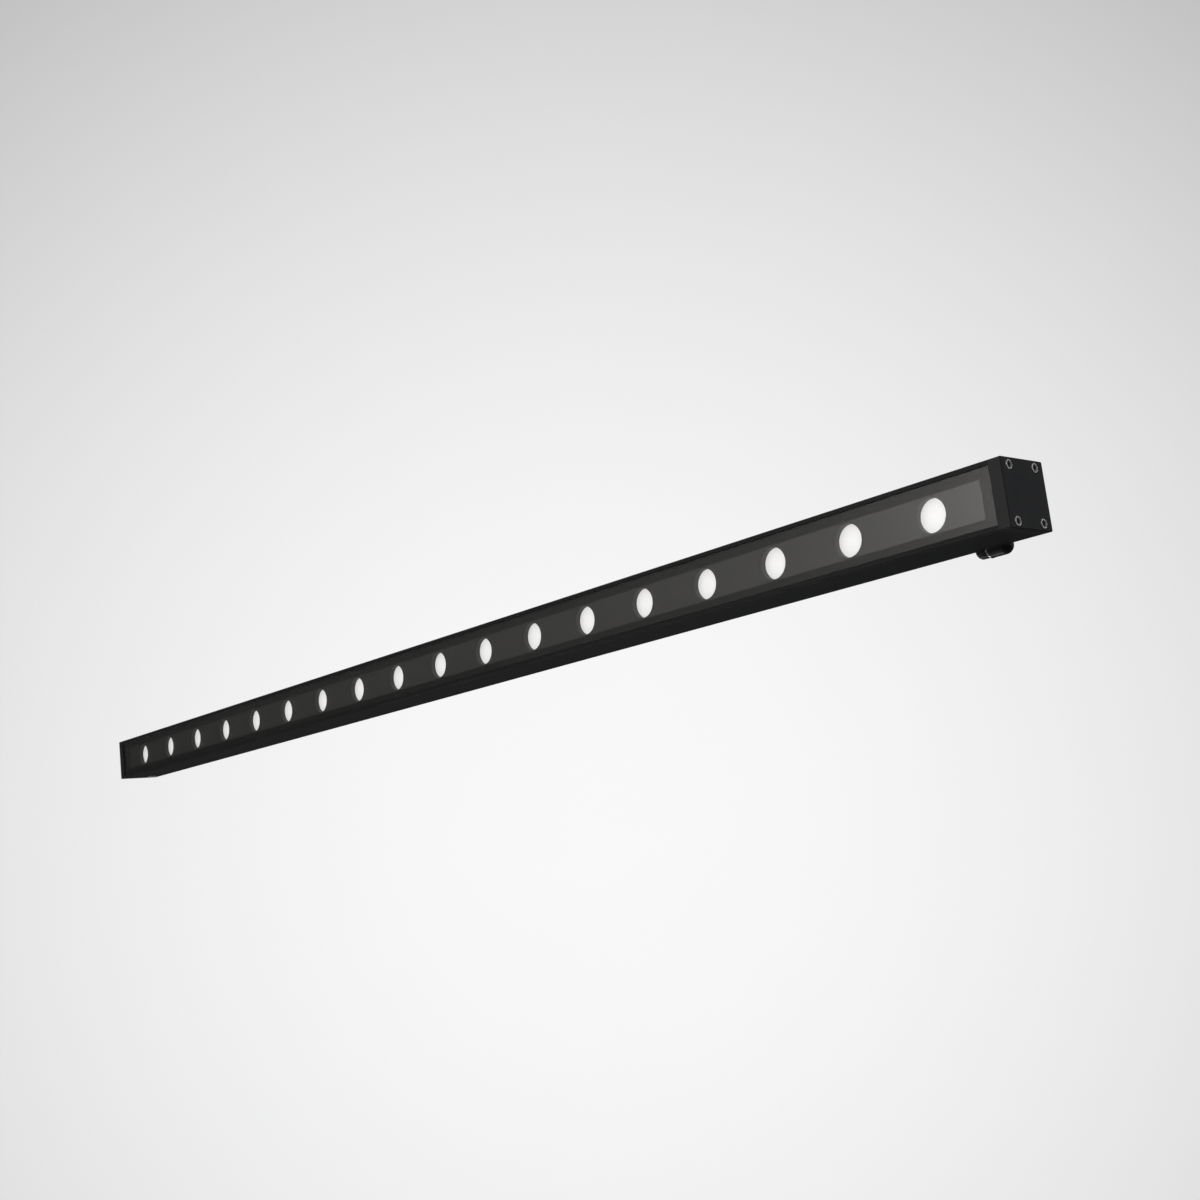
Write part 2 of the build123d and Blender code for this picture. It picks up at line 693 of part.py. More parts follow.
for side, name in ((-1, "left"), (1, "right")):
    screw_places = [(side * x, slot_rise) for x in shoe_screw_xs]

    # the shoe: a plate over the slot, a neck down to the pivot, and one eye
    with BuildPart() as shoe:
        with BuildSketch(back_plane(shoe_far)):
            with Locations((side * shoe_mid_x, (shoe_low + shoe_high) / 2)):
                RectangleRounded(shoe_width, shoe_high - shoe_low, shoe_corner)
        extrude(amount=shoe_thickness)
        with BuildSketch(pivot_plane(low_x(side, pivot_x, eye_end))):
            Circle(barrel_radius)
            neck_top = housing_z + shoe_low + shoe_corner - axis_z
            with Locations(((shoe_near + shoe_far) / 2 - axis_y, (neck_low + neck_top) / 2)):
                Rectangle(shoe_thickness, neck_top - neck_low)
        extrude(amount=eye_length)
        with BuildSketch(pivot_plane(low_x(side, pivot_x, eye_end))):
            Circle(bolt_radius + pivot_gap)
        extrude(amount=eye_length, mode=Mode.SUBTRACT)
        with BuildSketch(back_plane(shoe_far)):
            with Locations(*screw_places):
                Circle(shoe_screw_radius + slip)
        extrude(amount=shoe_thickness, mode=Mode.SUBTRACT)
        with BuildSketch(back_plane(shoe_far)):
            with Locations(*screw_places):
                Circle(shoe_screw_head_radius + slip)
        extrude(amount=shoe_thickness / 2, mode=Mode.SUBTRACT)
    save(f"bracket_shoe_{name}", shoe.part)

    with BuildPart() as slot_nuts:
        with BuildSketch(back_plane(nut_back)):
            with Locations(*screw_places):
                Rectangle(slot_nut_length, slot_width - 2 * slide_gap)
                Circle(shoe_screw_radius + thread_gap, mode=Mode.SUBTRACT)
        extrude(amount=nut_height)
    save(f"slot_nuts_{name}", slot_nuts.part)

    with BuildPart() as shoe_screws:
        with BuildSketch(back_plane(shoe_far)):
            with Locations(*screw_places):
                Circle(shoe_screw_head_radius)
        extrude(amount=shoe_thickness / 2)
        with BuildSketch(back_plane(shoe_far)):
            with Locations(*screw_places):
                Circle(shoe_screw_radius)
        extrude(amount=shoe_far - nut_back + nut_height)
        with BuildSketch(back_plane(shoe_far)):
            with Locations(*screw_places):
                RegularPolygon(shoe_screw_hex / 2, 6, major_radius=False)
        extrude(amount=shoe_screw_hex_depth, mode=Mode.SUBTRACT)
    save(f"shoe_screws_{name}", shoe_screws.part)

    # the wall plate: its eye turns on the bolt beside the shoe's eye
    with BuildPart() as wall_plate:
        with BuildSketch(pivot_plane(low_x(side, plate_eye, plate_eye_end))):
            Circle(barrel_radius)
            with Locations((barrel_radius - plate_thickness / 2, plate_low / 2 + plate_corner / 2)):
                Rectangle(plate_thickness, plate_low + plate_corner)
        extrude(amount=eye_length)
        with BuildSketch(Plane((0, 0, axis_z), x_dir=(1, 0, 0), z_dir=(0, -1, 0))):
            with Locations((side * plate_mid_x, (plate_low + plate_top) / 2)):
                RectangleRounded(plate_width, plate_top - plate_low, plate_corner)
        extrude(amount=plate_thickness)
        with BuildSketch(Plane((0, 0, axis_z), x_dir=(1, 0, 0), z_dir=(0, -1, 0))):
            with Locations(
                (side * plate_mid_x, first_hole),
                (side * plate_mid_x, first_hole + hole_spacing),
            ):
                Circle(hole_radius)
        extrude(amount=plate_thickness, mode=Mode.SUBTRACT)
        with BuildSketch(pivot_plane(low_x(side, plate_eye, plate_eye_end))):
            Circle(bolt_radius + thread_gap)
        extrude(amount=eye_length, mode=Mode.SUBTRACT)
    save(f"wall_plate_{name}", wall_plate.part)

    # bolt and washers along the pivot axis
    washer_x = pivot_x - washer_thickness
    bolt_end = plate_eye_end - bolt_short
    with BuildPart() as pivot_bolt:
        with BuildSketch(pivot_plane(low_x(side, washer_x - bolt_head, washer_x))):
            Circle(bolt_head_radius)
        extrude(amount=bolt_head)
        head_face = pivot_bolt.faces().sort_by(Axis.X)[0 if side > 0 else -1]
        fillet(head_face.edges(), bolt_head_edge)
        with BuildSketch(pivot_plane(low_x(side, washer_x, bolt_end))):
            Circle(bolt_radius)
        extrude(amount=bolt_end - washer_x)
        socket_from = washer_x - bolt_head
        with BuildSketch(pivot_plane(low_x(side, socket_from, socket_from + bolt_hex_depth))):
            RegularPolygon(bolt_hex / 2, 6, major_radius=False)
        extrude(amount=bolt_hex_depth, mode=Mode.SUBTRACT)
    save(f"pivot_bolt_{name}", pivot_bolt.part)

    with BuildPart() as pivot_washer:
        with BuildSketch(pivot_plane(low_x(side, washer_x, pivot_x))):
            Circle(washer_radius)
            Circle(bolt_radius + pivot_gap, mode=Mode.SUBTRACT)
        extrude(amount=washer_thickness)
    save(f"pivot_washer_{name}", pivot_washer.part)

    with BuildPart() as pad_washer:
        with BuildSketch(pivot_plane(low_x(side, eye_end, plate_eye))):
            Circle(bolt_head_radius)
            Circle(bolt_radius + pivot_gap, mode=Mode.SUBTRACT)
        extrude(amount=friction_washer)
    save(f"friction_washer_{name}", pad_washer.part)
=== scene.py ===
# %% [markdown]
# A slim wall batten: a black extruded profile, a flat cover glass, and one row of lit lenses
# seen through round holes in a dark mask. The metal and plastic parts arrive finished from the
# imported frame, in metres. What is added here is the light, the finishes, and the few pieces
# whose surface is finer than the frame's: the faceted lenses, the socket screws and the
# ribbed nut of the cable gland.

# %% Load the frame
import json
import math

import bmesh
import bpy
from mathutils import Matrix, Vector


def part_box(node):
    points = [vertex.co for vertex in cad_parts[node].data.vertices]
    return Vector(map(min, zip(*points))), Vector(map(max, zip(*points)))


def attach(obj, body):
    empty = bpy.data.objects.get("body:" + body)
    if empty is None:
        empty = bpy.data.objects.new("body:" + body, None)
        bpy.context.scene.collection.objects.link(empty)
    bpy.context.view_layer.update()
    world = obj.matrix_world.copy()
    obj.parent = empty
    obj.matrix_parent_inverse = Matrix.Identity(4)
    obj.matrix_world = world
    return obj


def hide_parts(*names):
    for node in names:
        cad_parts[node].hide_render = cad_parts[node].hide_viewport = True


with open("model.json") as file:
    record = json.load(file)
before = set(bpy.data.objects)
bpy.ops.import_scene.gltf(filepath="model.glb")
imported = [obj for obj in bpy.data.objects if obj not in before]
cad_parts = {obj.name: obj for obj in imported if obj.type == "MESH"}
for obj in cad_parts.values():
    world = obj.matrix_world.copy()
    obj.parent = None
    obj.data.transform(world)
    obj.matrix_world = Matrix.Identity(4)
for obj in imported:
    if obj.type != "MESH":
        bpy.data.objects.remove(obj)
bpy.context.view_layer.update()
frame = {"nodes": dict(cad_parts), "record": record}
MM = 0.001
nodes = frame["nodes"]

# %% [markdown]
# Most places below come from boxes of the frame: the housing's, the glass's, the first and last
# lens's. Measuring them keeps the pieces tied to the frame if a size changes. What a box can't
# give, such as the depth of a lens's pocket, is a named value beside its piece.

# %% Measure the batten
low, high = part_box("housing")
middle = (low + high) / 2
half_section = (high.z - low.z) / 2
end_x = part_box("end_cap_right")[1].x
lens_names = sorted(n for n in nodes if n.startswith("lens_") and n != "lens_mask")
first_low, first_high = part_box(lens_names[0])
last_low, last_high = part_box(lens_names[-1])
first_x = (first_low.x + first_high.x) / 2
last_x = (last_low.x + last_high.x) / 2
pitch = (last_x - first_x) / (len(lens_names) - 1)
print("middle", tuple(round(v, 4) for v in middle), "pitch", round(pitch, 4))

# %% [markdown]
# The camera stands past the right-hand end, in front of the batten and a little below it, and
# looks up along the row. It is rolled a few degrees, as a hand-held or a cropped view is.
# It could be aimed with a constraint, but a plain rotation is easier to read and to repeat.

# %% Camera
CAMERA_FROM_MIDDLE = Vector((0.8862, -0.6291, -0.1518))
CAMERA_TURN = math.radians(138.093)  # heading of the line of sight, from +X towards +Y
CAMERA_RISE = math.radians(9.946)
CAMERA_ROLL = math.radians(6.596)
LENS_MM = 45.76
SENSOR_MM = 36.0

sight = Vector(
    (
        math.cos(CAMERA_TURN) * math.cos(CAMERA_RISE),
        math.sin(CAMERA_TURN) * math.cos(CAMERA_RISE),
        math.sin(CAMERA_RISE),
    )
)
camera_data = bpy.data.cameras.new("camera")
camera_data.lens = LENS_MM
camera_data.sensor_width = SENSOR_MM
camera_data.clip_start = 0.01
camera_data.clip_end = 60
camera = bpy.data.objects.new("camera", camera_data)
bpy.context.scene.collection.objects.link(camera)
camera.location = middle + CAMERA_FROM_MIDDLE
camera.rotation_mode = "QUATERNION"
level_look = sight.to_track_quat("-Z", "Y")
roll = Matrix.Rotation(CAMERA_ROLL, 3, sight).to_quaternion()
camera.rotation_quaternion = roll @ level_look
bpy.context.scene.camera = camera
bpy.context.scene.view_settings.view_transform = "Standard"
print("camera at", tuple(round(v, 3) for v in camera.location))

# %% [markdown]
# Shader maths reads best as ordinary Python. `Wire` stands for one output of a node, and the
# arithmetic operators on it add Math nodes. `Finish` makes a material and adds every other
# node through one method: its type, its settings, then the values or wires of its sockets.


# %% Wire and Finish
class Wire:
    """One output of a shader node."""

    def __init__(self, finish, node, output=0):
        self.finish, self.node, self.socket = finish, node, node.outputs[output]

    def other(self, output):
        return Wire(self.finish, self.node, output)

    def maths(self, operation, *values):
        return self.finish.node("Math", {"operation": operation}, dict(enumerate(values)))

    def __add__(self, value):
        return self.maths("ADD", self, value)

    def __sub__(self, value):
        return self.maths("SUBTRACT", self, value)

    def __rsub__(self, value):
        return self.maths("SUBTRACT", value, self)

    def __mul__(self, value):
        return self.maths("MULTIPLY", self, value)

    def __truediv__(self, value):
        return self.maths("DIVIDE", self, value)

    def __pow__(self, value):
        return self.maths("POWER", self, value)

    def __rpow__(self, value):
        return self.maths("POWER", value, self)

    def __abs__(self):
        return self.maths("ABSOLUTE", self)

    __radd__ = __add__
    __rmul__ = __mul__

    def least(self, value):
        return self.maths("MINIMUM", self, value)

    def most(self, value):
        return self.maths("MAXIMUM", self, value)

    def wave(self):
        return self.maths("SINE", self) * 0.5 + 0.5

    def step(self, start, end):
        """0 up to start, 1 from end on, smooth between."""
        return self.finish.node(
            "MapRange",
            {"interpolation_type": "SMOOTHSTEP"},
            {"Value": self, "From Min": start, "From Max": end},
        )


class Finish:
    """A material under construction."""

    def __init__(self, name):
        self.material = bpy.data.materials.new(name)
        self.material.use_nodes = True
        self.tree = self.material.node_tree
        self.tree.nodes.clear()
        self.end = self.tree.nodes.new("ShaderNodeOutputMaterial")

    def node(self, kind, settings=None, values=None, output=0):
        node = self.tree.nodes.new("ShaderNode" + kind)
        for key, setting in (settings or {}).items():
            if key == "stops":
                for (place, colour), stop in zip(setting, self.stops(node, len(setting))):
                    stop.position, stop.color = place, (*colour, 1)
            else:
                setattr(node, key, setting)
        for key, value in (values or {}).items():
            if isinstance(value, Wire):
                self.tree.links.new(value.socket, node.inputs[key])
            else:
                node.inputs[key].default_value = value
        return Wire(self, node, output)

    def stops(self, node, count):
        elements = node.color_ramp.elements
        while len(elements) < count:
            elements.new(1.0)
        return elements

    def place(self, stretch=(1, 1, 1)):
        """The point on the piece, in metres, with each axis multiplied by stretch."""
        point = self.node("TexCoord", output="Object")
        return self.node(
            "VectorMath", {"operation": "MULTIPLY"}, {0: point, 1: stretch}
        )

    def noise(self, stretch, detail=2.0, rough=0.5):
        return self.node(
            "TexNoise",
            values={
                "Vector": self.place(stretch),
                "Scale": 1.0,
                "Detail": detail,
                "Roughness": rough,
            },
        )

    def axes(self):
        point = self.node("SeparateXYZ", values={0: self.place()})
        return point.other("X"), point.other("Y"), point.other("Z")

    def blend(self, amount, colour_a, colour_b):
        """A colour between two colours; each may be a wire or three numbers."""
        sockets = {"Factor": amount}
        for key, colour in ((6, colour_a), (7, colour_b)):
            sockets[key] = colour if isinstance(colour, Wire) else (*colour, 1)
        return self.node("Mix", {"data_type": "RGBA"}, sockets, output=2)

    def bump(self, height, distance, strength=1.0):
        values = {"Height": height, "Distance": distance, "Strength": strength}
        return self.node("Bump", values=values)

    def surface(self, **values):
        """A Principled surface; underscores in the names stand for spaces."""
        values = {k.replace("_", " "): v for k, v in values.items()}
        for key, value in values.items():
            if isinstance(value, tuple) and len(value) == 3:
                values[key] = (*value, 1)
        shader = self.node("BsdfPrincipled", values=values)
        self.tree.links.new(shader.socket, self.end.inputs["Surface"])
        return self.material


def wear(mesh_object, material):
    """Give a piece one material."""
    mesh_object.data.materials.clear()
    mesh_object.data.materials.append(material)


# %% [markdown]
# The studio. The batten floats in front of a plain pale sweep: a floor that curves up into a
# dome, brightest low in the middle and a little greyer towards the corners. Painting that soft
# falloff on the sweep is steadier than hunting for it with lamps, and the sweep is kept out
# of the batten's reflections, because a black product is lit by its own soft boxes.

# %% The sweep
SWEEP_RADIUS = 6.0
FLOOR_DROP = 1.1
SWEEP_EDGE = 1.6  # radius of the curve between the floor and the dome
GLOW_DROP = 0.1442  # how far below the line of sight the brightest place lies
GLOW_LEVEL = 0.95
GLOW_FALL = 2.2
GLOW_FLOOR = 0.5
PAPER_MOTTLE = 0.01
SWEEP_SIDES = 96
CURVE_STEPS = 12
DOME_STEPS = 16
ROUND_SIDES = 120


def plain(radius):
    """The same radius at every angle, for ring_of."""
    return lambda a: radius


def ring_of(mesh, radius_at, height, sides=ROUND_SIDES):
    """A ring of points whose radius depends on the angle."""
    points = []
    for k in range(sides):
        a = 2 * math.pi * k / sides
        r = radius_at(a)
        points.append(mesh.verts.new((r * math.cos(a), r * math.sin(a), height)))
    return points


def join_all(mesh, rings):
    """Faces between each ring and the next."""
    for below, above in zip(rings, rings[1:]):
        join_rings(mesh, below, above)


def lathe(name, outline, sides, centre=(0, 0, 0), axis="Z"):
    """A closed turned shape: outline is a list of (radius, height) from one end to the other."""
    mesh = bmesh.new()
    rings = []
    for radius, height in outline:
        if radius < 1e-9:
            rings.append([mesh.verts.new((0, 0, height))])
        else:
            rings.append(ring_of(mesh, plain(radius), height, sides))
    join_all(mesh, rings)
    return finish_mesh(name, mesh, centre, axis)


def join_rings(mesh, below, above):
    """Faces between two rings of points; either may be a single point."""
    count = max(len(below), len(above))
    for k in range(count):
        a, b = below[k % len(below)], below[(k + 1) % len(below)]
        c, d = above[(k + 1) % len(above)], above[k % len(above)]
        corners = []
        for corner in (a, b, c, d):
            if corner not in corners:
                corners.append(corner)
        if len(corners) > 2:
            mesh.faces.new(corners)


TURNS = {
    "Z": Matrix.Identity(4),
    "X": Matrix.Rotation(math.radians(90), 4, "Y"),
    "-X": Matrix.Rotation(math.radians(-90), 4, "Y"),
    "-Y": Matrix.Rotation(math.radians(90), 4, "X"),
}


def finish_mesh(name, mesh, centre, axis):
    """Turn the mesh's Z onto an axis, put it in place and make it an object."""
    bmesh.ops.recalc_face_normals(mesh, faces=mesh.faces[:])
    bmesh.ops.transform(
        mesh, matrix=Matrix.Translation(centre) @ TURNS[axis], verts=mesh.verts[:]
    )
    data = bpy.data.meshes.new(name)
    mesh.to_mesh(data)
    mesh.free()
    for face in data.polygons:
        face.use_smooth = True
    piece = bpy.data.objects.new(name, data)
    bpy.context.scene.collection.objects.link(piece)
    return piece


def sweep_outline():
    """Floor, quarter curve and dome, as (radius, height) from the middle of the floor."""
    points = [(0, 0)]
    for step in range(CURVE_STEPS + 1):
        a = math.pi / 2 * step / CURVE_STEPS
        inner = SWEEP_RADIUS - SWEEP_EDGE
        points.append((inner + SWEEP_EDGE * math.sin(a), SWEEP_EDGE * (1 - math.cos(a))))
    for step in range(1, DOME_STEPS + 1):
        a = math.pi / 2 * step / DOME_STEPS
        points.append((SWEEP_RADIUS * math.cos(a), SWEEP_EDGE + SWEEP_RADIUS * math.sin(a)))
    points[-1] = (0, points[-1][1])
    return points


sweep = lathe("sweep", sweep_outline(), SWEEP_SIDES, centre=(0, 0, middle.z - FLOOR_DROP))
sweep.visible_diffuse = False
sweep.visible_glossy = False
sweep.visible_transmission = True
sweep.visible_shadow = False

paper = Finish("sweep_paper")
down = camera.rotation_quaternion @ Vector((0, -1, 0))
glow_way = (sight + GLOW_DROP * down).normalized()
from_camera = paper.node(
    "VectorMath", {"operation": "SUBTRACT"}, {0: paper.place(), 1: camera.location[:]}
)
way = paper.node("VectorMath", {"operation": "NORMALIZE"}, {0: from_camera})
near_glow = paper.node(
    "VectorMath", {"operation": "DOT_PRODUCT"}, {0: way, 1: glow_way[:]}, output="Value"
)
fibre = paper.noise((3, 3, 3), detail=3)
level = (near_glow * GLOW_FALL + (GLOW_LEVEL - GLOW_FALL)).most(GLOW_FLOOR)
level = level + (fibre - 0.5) * PAPER_MOTTLE
shine = paper.node("Emission", values={"Color": (0.992, 0.992, 1.0, 1), "Strength": level})
paper.tree.links.new(shine.socket, paper.end.inputs["Surface"])
wear(sweep, paper.material)
print("sweep made, glow towards", tuple(round(v, 3) for v in glow_way))

# %% [markdown]
# The lamps. The flat glass works as a mirror, so what it shows is decided by one long soft box
# in front and to the left: bright at its near end, fading along its length, which is why the
# glass is light grey at the near end of the batten and almost black at the far end. A very
# weak room light fills the rest, a little cooler than the box and weaker from underneath. A
# wide lamp overhead and one past the near end lift the top and the end cap. One small lamp
# stands where the screw heads, as mirrors, look for the camera, and two more stand low, where
# a pale floor would shine back at the gland's ring and at the breather plug.

# %% Soft box and room
BOX_Y = -2.2
BOX_RIGHT, BOX_LEFT = -0.2, -7.5
BOX_LOW, BOX_HIGH = -0.5, 1.8
BOX_LOW_SOFT, BOX_HIGH_SOFT = 0.4, 0.5  # widths of the fade at its long edges
BOX_FLAT_X = -0.75  # the brightness no longer rises to the right of this
SLOW_X, SLOW_LEVEL, SLOW_FADE = -1.1, 0.75, 0.64  # level at X, natural-log fall for each metre
FAST_X, FAST_LEVEL, FAST_FADE = -0.9, 0.80, 4.0
ROOM = (0.15, 0.155, 0.165)
ROOM_BELOW = 0.32  # share of the room's light that comes up from underneath
ROOM_FROM, ROOM_TO = -0.3, 0.2  # the rise of a direction between which the room brightens

box_mesh = bmesh.new()
corners = [(BOX_LEFT, BOX_LOW), (BOX_RIGHT, BOX_LOW), (BOX_RIGHT, BOX_HIGH), (BOX_LEFT, BOX_HIGH)]
box_mesh.faces.new([box_mesh.verts.new((x, BOX_Y, z)) for x, z in corners])
soft_box = finish_mesh("soft_box", box_mesh, (0, 0, 0), "Z")
soft_box.visible_camera = False
soft_box.visible_shadow = False

silk = Finish("soft_box_silk")
along, _, up = silk.axes()
reach = along.least(BOX_FLAT_X)
slow = math.e ** ((reach - SLOW_X) * SLOW_FADE) * SLOW_LEVEL
fast = math.e ** ((reach - FAST_X) * FAST_FADE) * FAST_LEVEL
low_edge = up.step(BOX_LOW, BOX_LOW + BOX_LOW_SOFT)
high_edge = up.step(BOX_HIGH - BOX_HIGH_SOFT, BOX_HIGH)
edge = low_edge * (1 - high_edge)
glow = silk.node(
    "Emission",
    values={"Color": (1.0, 0.975, 0.945, 1), "Strength": (slow + fast) * edge},
)
silk.tree.links.new(glow.socket, silk.end.inputs["Surface"])
wear(soft_box, silk.material)

world = bpy.data.worlds.new("room")
world.use_nodes = True
sky = world.node_tree
background = sky.nodes["Background"]
background.inputs["Color"].default_value = (*ROOM, 1)
heading = sky.nodes.new("ShaderNodeTexCoord")
split = sky.nodes.new("ShaderNodeSeparateXYZ")
rise = sky.nodes.new("ShaderNodeMapRange")
rise.inputs["From Min"].default_value = ROOM_FROM
rise.inputs["From Max"].default_value = ROOM_TO
rise.inputs["To Min"].default_value = ROOM_BELOW
rise.inputs["To Max"].default_value = 1.0
sky.links.new(heading.outputs["Generated"], split.inputs[0])
sky.links.new(split.outputs["Z"], rise.inputs["Value"])
sky.links.new(rise.outputs[0], background.inputs["Strength"])
bpy.context.scene.world = world


def lamp(name, target, offset, size, power, colour=(1, 1, 1)):
    """A square soft lamp, offset from the point it is aimed at."""
    data = bpy.data.lights.new(name, "AREA")
    data.size, data.energy, data.color = size, power, colour
    light = bpy.data.objects.new(name, data)
    bpy.context.scene.collection.objects.link(light)
    light.location = target + Vector(offset)
    light.rotation_euler = (-Vector(offset)).to_track_quat("-Z", "Y").to_euler()
    return light


near_end = Vector((end_x, middle.y, middle.z))
to_camera = (camera.location - near_end).normalized()
mirrored = Vector((to_camera.x, -to_camera.y, -to_camera.z))
lamp("top_lamp", middle, (0.2, -0.4, 1.8), 1.2, 6.0)
lamp("end_lamp", middle, (2.0, -0.3, 0.5), 0.8, 1.7, (0.92, 0.96, 1.0))
lamp("screw_lamp", near_end, mirrored * 1.5, 0.12, 0.28)
lamp("floor_lamp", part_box("gland_ring")[0], Vector((-0.56, 0.26, -0.79)) * 1.4, 0.22, 1.0)
lamp("far_floor_lamp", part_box("vent_plug")[0], (-0.3, -0.2, -0.9), 0.3, 1.6)

# %% [markdown]
# Black anodised aluminium. Anodising is a thin hard layer grown on the metal and dyed, so it
# behaves like a satin dielectric rather than bare metal. An extrusion also keeps very fine
# lines along its length, drawn by the die. Noise stretched hugely along X gives both: the
# lines roughen the sheen and lift it a little, and the sharp long edges are rubbed paler.

# %% Anodised profile
DIE_LINES = (4, 2600, 2600)
BLACK = (0.0105, 0.0102, 0.0104)
RUBBED = (0.055, 0.054, 0.053)


def edge_rub(finish, width):
    """1 close to the section's four long corners, 0 elsewhere, broken up by noise."""
    _, y, z = finish.axes()
    nearer = abs(y - middle.y).least(abs(z - middle.z))
    patchy = finish.noise((25, 900, 900), detail=3)
    return nearer.step(half_section - width, half_section - width / 4) * patchy.step(0.35, 0.75)


profile = Finish("profile_anodised")
lines = profile.noise(DIE_LINES, detail=4, rough=0.65)
cloud = profile.noise((7, 60, 60), detail=3)
grit = profile.noise((5200, 5200, 5200), detail=1)
rub = edge_rub(profile, 0.0016)
tone = profile.blend(cloud, BLACK, (0.0135, 0.0130, 0.0130))
profile.surface(
    Base_Color=profile.blend(rub * 0.5, tone, RUBBED),
    Roughness=lines * 0.16 + cloud * 0.08 + 0.34,
    Normal=profile.bump(lines * 0.7 + grit * 0.3, 0.00004, 0.5),
    Specular_IOR_Level=0.24,
)
wear(nodes["housing"], profile.material)

# %% [markdown]
# The end caps are machined from plate, blasted and anodised with the profile. Blasting leaves
# an even fine grain with no direction, so their noise isn't stretched, and they come out a
# shade cooler and duller than the drawn metal beside them.

# %% Anodised caps
cap = Finish("cap_anodised")
grain = cap.noise((3800, 3800, 3800), detail=2, rough=0.7)
cloud = cap.noise((90, 90, 90), detail=3)
rub = edge_rub(cap, 0.0013)
tone = cap.blend(cloud, (0.0095, 0.010, 0.011), (0.0125, 0.013, 0.014))
cap.surface(
    Base_Color=cap.blend(rub * 0.4, tone, RUBBED),
    Roughness=grain * 0.10 + cloud * 0.10 + 0.36,
    Normal=cap.bump(grain, 0.00006, 0.55),
    Specular_IOR_Level=0.40,
)
for name in ("end_cap_left", "end_cap_right"):
    wear(nodes[name], cap.material)

# %% [markdown]
# Clear toughened glass. A transparent sheet mixed with a mirror by a Fresnel curve shows what
# is behind it without noise and keeps the mirror that makes it read as glass. The curve is
# worked out from the facing angle, because it has to be the same on both faces of the pane.
# Finger grease shows only in the mirror, as faint blurred patches, and the ground edge of the
# pane is duller.

# %% Cover glass
glass_low, glass_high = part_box("cover_glass")
FACE_ON = 0.04

glass = Finish("cover_glass")
facing = glass.node("LayerWeight", values={"Blend": 0.5}, output="Facing")
mirror_share = facing ** 5 * (1 - FACE_ON) + FACE_ON
grease = glass.noise((14, 40, 40), detail=4, rough=0.6)
x, y, z = glass.axes()
glass_mid = (glass_low.z + glass_high.z) / 2
glass_half = (glass_high.z - glass_low.z) / 2
at_long_edge = abs(z - glass_mid).step(glass_half - 0.0005, glass_half - 0.0002)
at_short_edge = abs(x).step(glass_high.x - 0.0005, glass_high.x - 0.0002)
ground = at_long_edge.most(at_short_edge)
sheen = glass.node(
    "BsdfGlossy",
    values={
        "Color": (1, 1, 1, 1),
        "Roughness": grease.step(0.45, 0.8) * 0.04 + ground * 0.25 + 0.13,
    },
)
clear = glass.node("BsdfTransparent", values={"Color": (0.964, 0.965, 0.962, 1)})
pane = glass.node(
    "MixShader",
    values={0: (mirror_share + ground * 0.07).least(1.0), 1: clear, 2: sheen},
)
glass.tree.links.new(pane.socket, glass.end.inputs["Surface"])
wear(nodes["cover_glass"], glass.material)

# %% [markdown]
# Behind the glass: a rubber seal, and a moulded mask of dark grey plastic. The mask has the
# fine even texture that a spark-eroded mould leaves.

# %% Mask and seal
mask = Finish("mask_plastic")
spark = mask.noise((2600, 2600, 2600), detail=2, rough=0.6)
flow = mask.noise((6, 120, 120), detail=3)
mask.surface(
    Base_Color=mask.blend(flow, (0.020, 0.0195, 0.0185), (0.027, 0.0265, 0.025)),
    Roughness=spark * 0.18 + 0.52,
    Normal=mask.bump(spark, 0.00004, 0.3),
)
wear(nodes["lens_mask"], mask.material)

seal = Finish("seal_rubber")
skin = seal.noise((700, 2000, 2000), detail=3)
seal.surface(
    Base_Color=seal.blend(skin, (0.010, 0.010, 0.010), (0.017, 0.0165, 0.016)),
    Roughness=skin * 0.15 + 0.62,
    Normal=seal.bump(skin, 0.00005, 0.3),
)
for name in ("cover_seal", "end_gasket_left", "end_gasket_right", "gland_seal"):
    wear(nodes[name], seal.material)

# %% [markdown]
# The lenses. Each is a clear acrylic optic whose flat front is covered with small hexagonal
# pillows that spread the light. Texture alone would leave a flat disc, so the pillows are
# real: the front is a fine polar mesh, pushed back between the pillows. It keeps the flange,
# the cone and the pocket of the frame's lens, and one mesh serves all of the lenses.

# %% Lens mesh
PILLOW = 1.45 * MM
PILLOW_DEPTH = 0.16 * MM
lens_front = first_low.y
lens_radius = (first_high.x - first_low.x) / 2
lens_z = (first_low.z + first_high.z) / 2
FLANGE = 1.5 * MM
CONE = lens_radius - 1.0 * MM
THROAT = 4.6 * MM
LENS_HEIGHT = 8.8 * MM
POCKET = 2.6 * MM
POCKET_DEPTH = 2.8 * MM
LENS_EDGE = 0.25 * MM  # chamfer round the front
LENS_SIDES = 96
LENS_RINGS = 40


def pillow_dip(u, v):
    """How far the front is pushed back at (u, v): 0 on a pillow's top, deepest between."""
    row_height = PILLOW * math.sqrt(3) / 2
    best = PILLOW
    base_row = round(v / row_height)
    for row in (base_row - 1, base_row, base_row + 1):
        shift = PILLOW / 2 if row % 2 else 0.0
        column = round((u - shift) / PILLOW)
        best = min(best, math.hypot(u - shift - column * PILLOW, v - row * row_height))
    return PILLOW_DEPTH * (best / (PILLOW / math.sqrt(3))) ** 2


